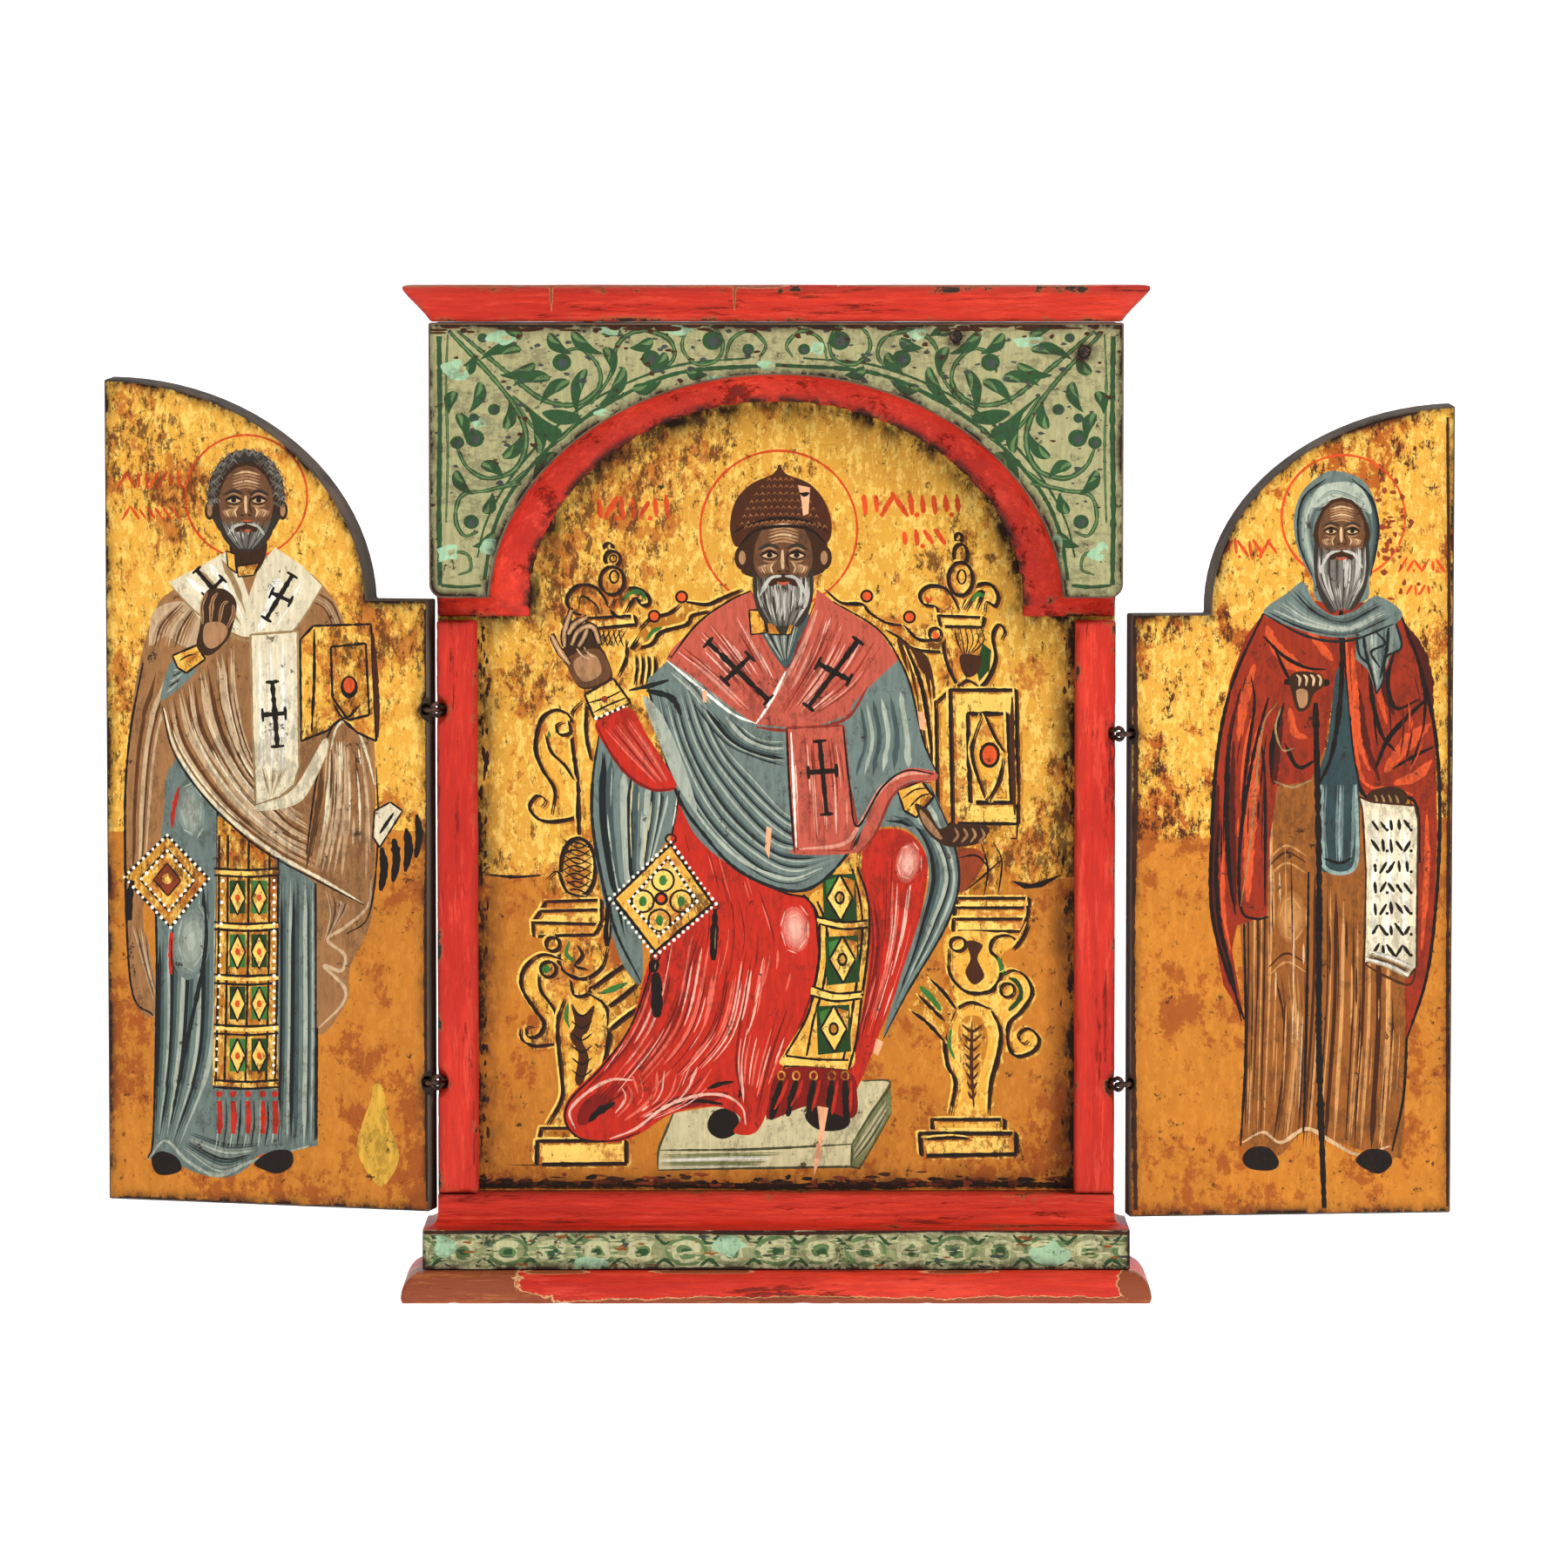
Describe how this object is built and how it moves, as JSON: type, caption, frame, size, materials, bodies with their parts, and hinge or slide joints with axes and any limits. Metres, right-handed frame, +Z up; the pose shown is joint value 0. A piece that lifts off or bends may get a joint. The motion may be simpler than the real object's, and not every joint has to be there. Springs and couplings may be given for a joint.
{
  "type": "triptych altarpiece",
  "caption": "Small painted wooden triptych: an arched, gilded panel in a moulded case on a splayed foot, with two arched wings that close over it on linked wire eyes.",
  "frame": {"origin": "the middle of the foot's flat underside, on the surface it stands on", "axes": "+X runs to the viewer's right along the case, -Y faces the viewer out of the painted panel, and +Z is up"},
  "size_m": [0.4526, 0.0563, 0.3382],
  "materials": {
    "foot_paint": "worn vermilion tempera over a brown primer on softwood",
    "plinth_paint": "vermilion tempera on the rail, sage green with dark ovals on the fascia",
    "panel_painting": "egg tempera and worn water-gilt gold over red bole on wood, matt to satin",
    "jamb_left_paint": "vermilion tempera, worn to dark wood at the edges",
    "jamb_right_paint": "vermilion tempera, worn to dark wood at the edges",
    "arch_paint": "vermilion tempera on a hollow moulding",
    "spandrel_paint": "sage green tempera with dark green scrolls, dirty and flaked",
    "cornice_paint": "vermilion tempera, chipped along the top edge",
    "left_wing_painting": "egg tempera and worn gold on wood, the back bare and dark",
    "right_wing_painting": "egg tempera and worn gold on wood, the back bare and dark",
    "wire_iron": "dark rusty hand drawn iron wire",
    "nail_iron": "rusty hand forged iron"
  },
  "bodies": {
    "case": {"foot_moulding": "foot_paint", "plinth": "plinth_paint", "icon_panel": "panel_painting", "jamb_left": "jamb_left_paint", "jamb_right": "jamb_right_paint", "arch_moulding": "arch_paint", "spandrel_board": "spandrel_paint", "cornice": "cornice_paint", "nail_corner": "nail_iron", "nail_crown": "nail_iron", "pin_frame_left_upper": "wire_iron", "pin_frame_left_lower": "wire_iron", "pin_frame_right_upper": "wire_iron", "pin_frame_right_lower": "wire_iron"},
    "left_wing": {"wing_left": "left_wing_painting", "pin_wing_left_upper": "wire_iron", "pin_wing_left_lower": "wire_iron"},
    "right_wing": {"wing_right": "right_wing_painting", "pin_wing_right_upper": "wire_iron", "pin_wing_right_lower": "wire_iron"}
  },
  "joints": [
    {"name": "left_wing_hinge", "type": "hinge", "parent": "case", "child": "left_wing", "pos_m": [-0.1148, -0.003, 0.1342], "axis": [0, 0, 1], "range_deg": [-2, 193]},
    {"name": "right_wing_hinge", "type": "hinge", "parent": "case", "child": "right_wing", "pos_m": [0.1158, -0.003, 0.1298], "axis": [0, 0, -1], "range_deg": [-15, 186]}
  ]
}
